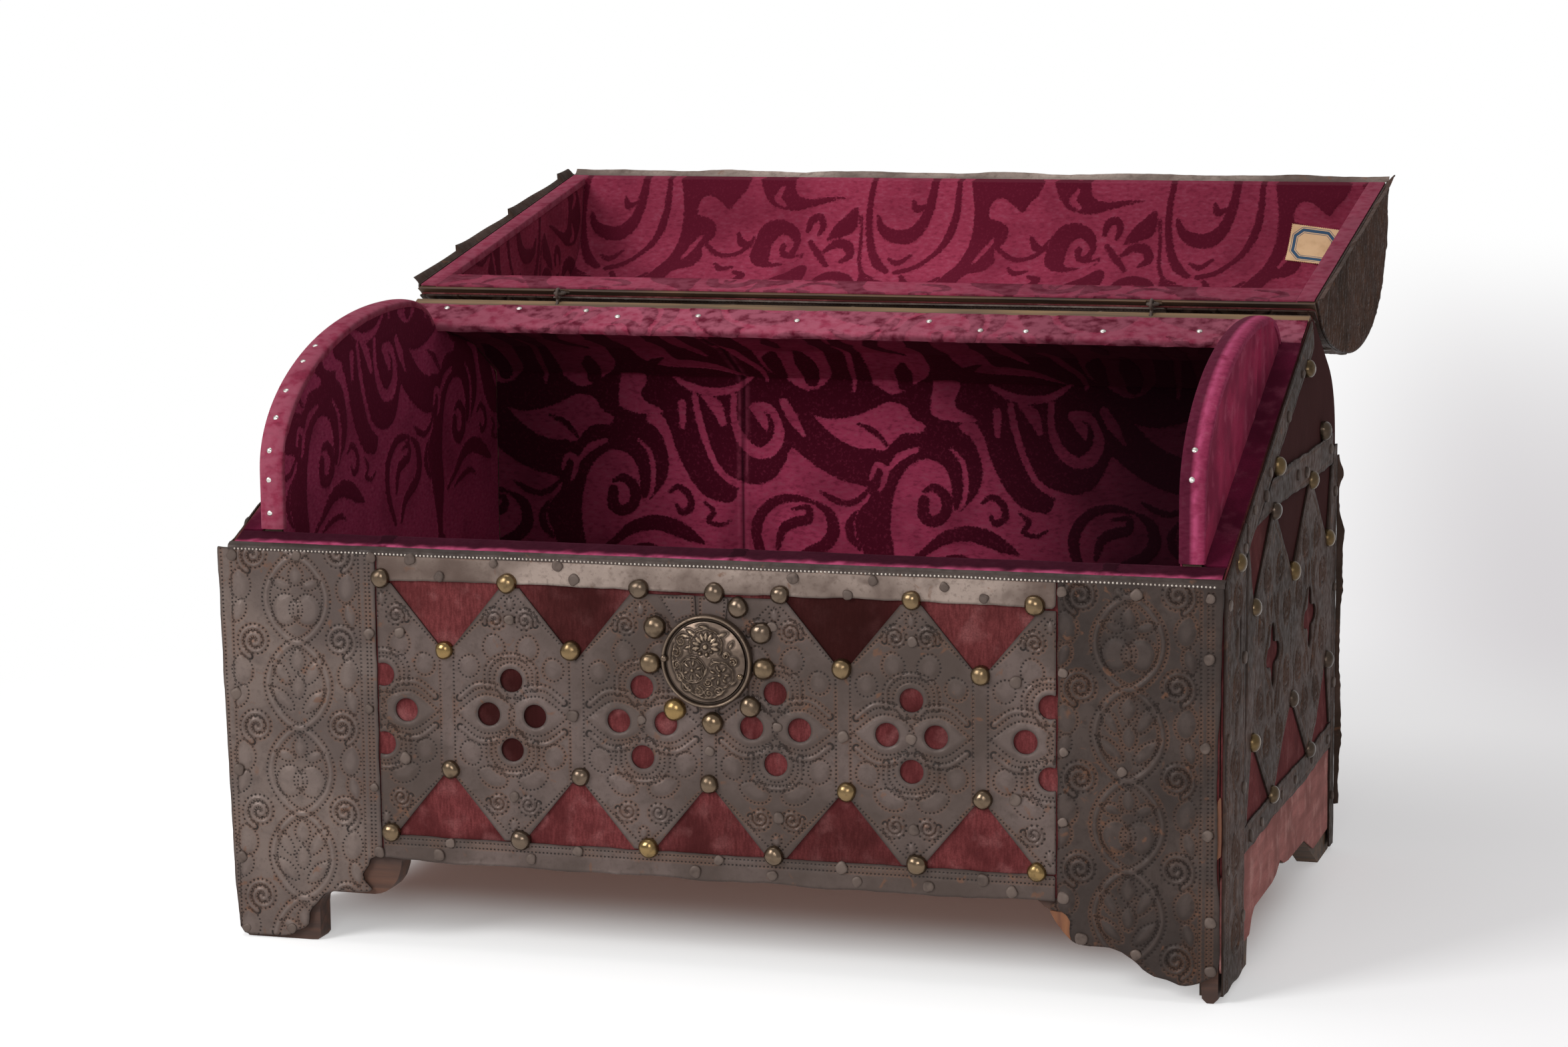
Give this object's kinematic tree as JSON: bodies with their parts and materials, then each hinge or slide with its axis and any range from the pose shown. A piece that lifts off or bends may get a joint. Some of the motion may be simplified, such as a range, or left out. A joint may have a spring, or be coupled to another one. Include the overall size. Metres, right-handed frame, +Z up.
{
  "type": "wooden coffer",
  "caption": "Small wooden coffer on bracket feet with a barrel lid on wire-eye hinges, lined in damask and clad outside in velvet under pierced, embossed sheet iron.",
  "frame": {"origin": "on the floor, under the middle of the whole footprint with the lid laid open", "axes": "+X to the right as seen from the front, -Y towards the front, +Z up"},
  "size_m": [0.48, 0.4942, 0.3383],
  "materials": {
    "wood": "worn, unvarnished",
    "iron": "dark patinated sheet iron, embossed",
    "bronze": "dark bronze patina, rubbed bright on the high spots",
    "velvet": "worn cut velvet",
    "lining": "cut velvet damask, crimson pile on a paler ground"
  },
  "bodies": {
    "carcass": {"front_board": "wood", "back_board": "wood", "end_board_left": "wood", "end_board_right": "wood", "tongue_left": "wood", "tongue_right": "wood", "bottom_board": "wood", "rear_slope_board": "wood", "hinge_rail": "wood", "front_velvet": "velvet", "back_velvet": "velvet", "end_velvet_left": "velvet", "end_velvet_right": "velvet", "lining_front": "lining", "lining_back": "lining", "lining_left": "lining", "lining_right": "lining", "lining_floor": "lining", "front_corner_strip_left": "iron", "front_corner_strip_right": "iron", "front_top_band": "iron", "front_bottom_band": "iron", "front_lozenge_sheet": "iron", "end_front_strip_left": "iron", "end_front_strip_right": "iron", "end_diagonal_strip_left": "iron", "end_diagonal_strip_right": "iron", "end_upper_band_left": "iron", "end_upper_band_right": "iron", "end_lower_band_left": "iron", "end_lower_band_right": "iron", "end_lozenge_sheet_left": "iron", "end_lozenge_sheet_right": "iron", "back_corner_strip_left": "iron", "back_corner_strip_right": "iron", "back_upper_band": "iron", "back_lower_band": "iron", "slope_edge_band": "iron", "boss_dish": "bronze", "boss_medallion": "bronze", "hinge_eye_body_left": "iron", "hinge_eye_body_right": "iron"},
    "lid": {"lid_shell": "wood", "lid_hinge_batten": "wood", "lid_end_left": "wood", "lid_end_right": "wood", "lid_lining": "lining", "lid_end_lining_left": "lining", "lid_end_lining_right": "lining", "lid_velvet": "velvet", "lid_strip_left": "iron", "lid_strip_right": "iron", "lid_front_band": "iron", "lid_rear_band": "iron", "lid_lozenge_sheet": "iron", "lid_end_sheet_left": "iron", "lid_end_sheet_right": "iron", "hinge_eye_lid_left": "iron", "hinge_eye_lid_right": "iron"}
  },
  "joints": [
    {"name": "lid_hinge", "type": "hinge", "parent": "carcass", "child": "lid", "pos_m": [0, -0.00337, 0.29081], "axis": [1, 0, 0], "range_deg": [0, 192]}
  ]
}
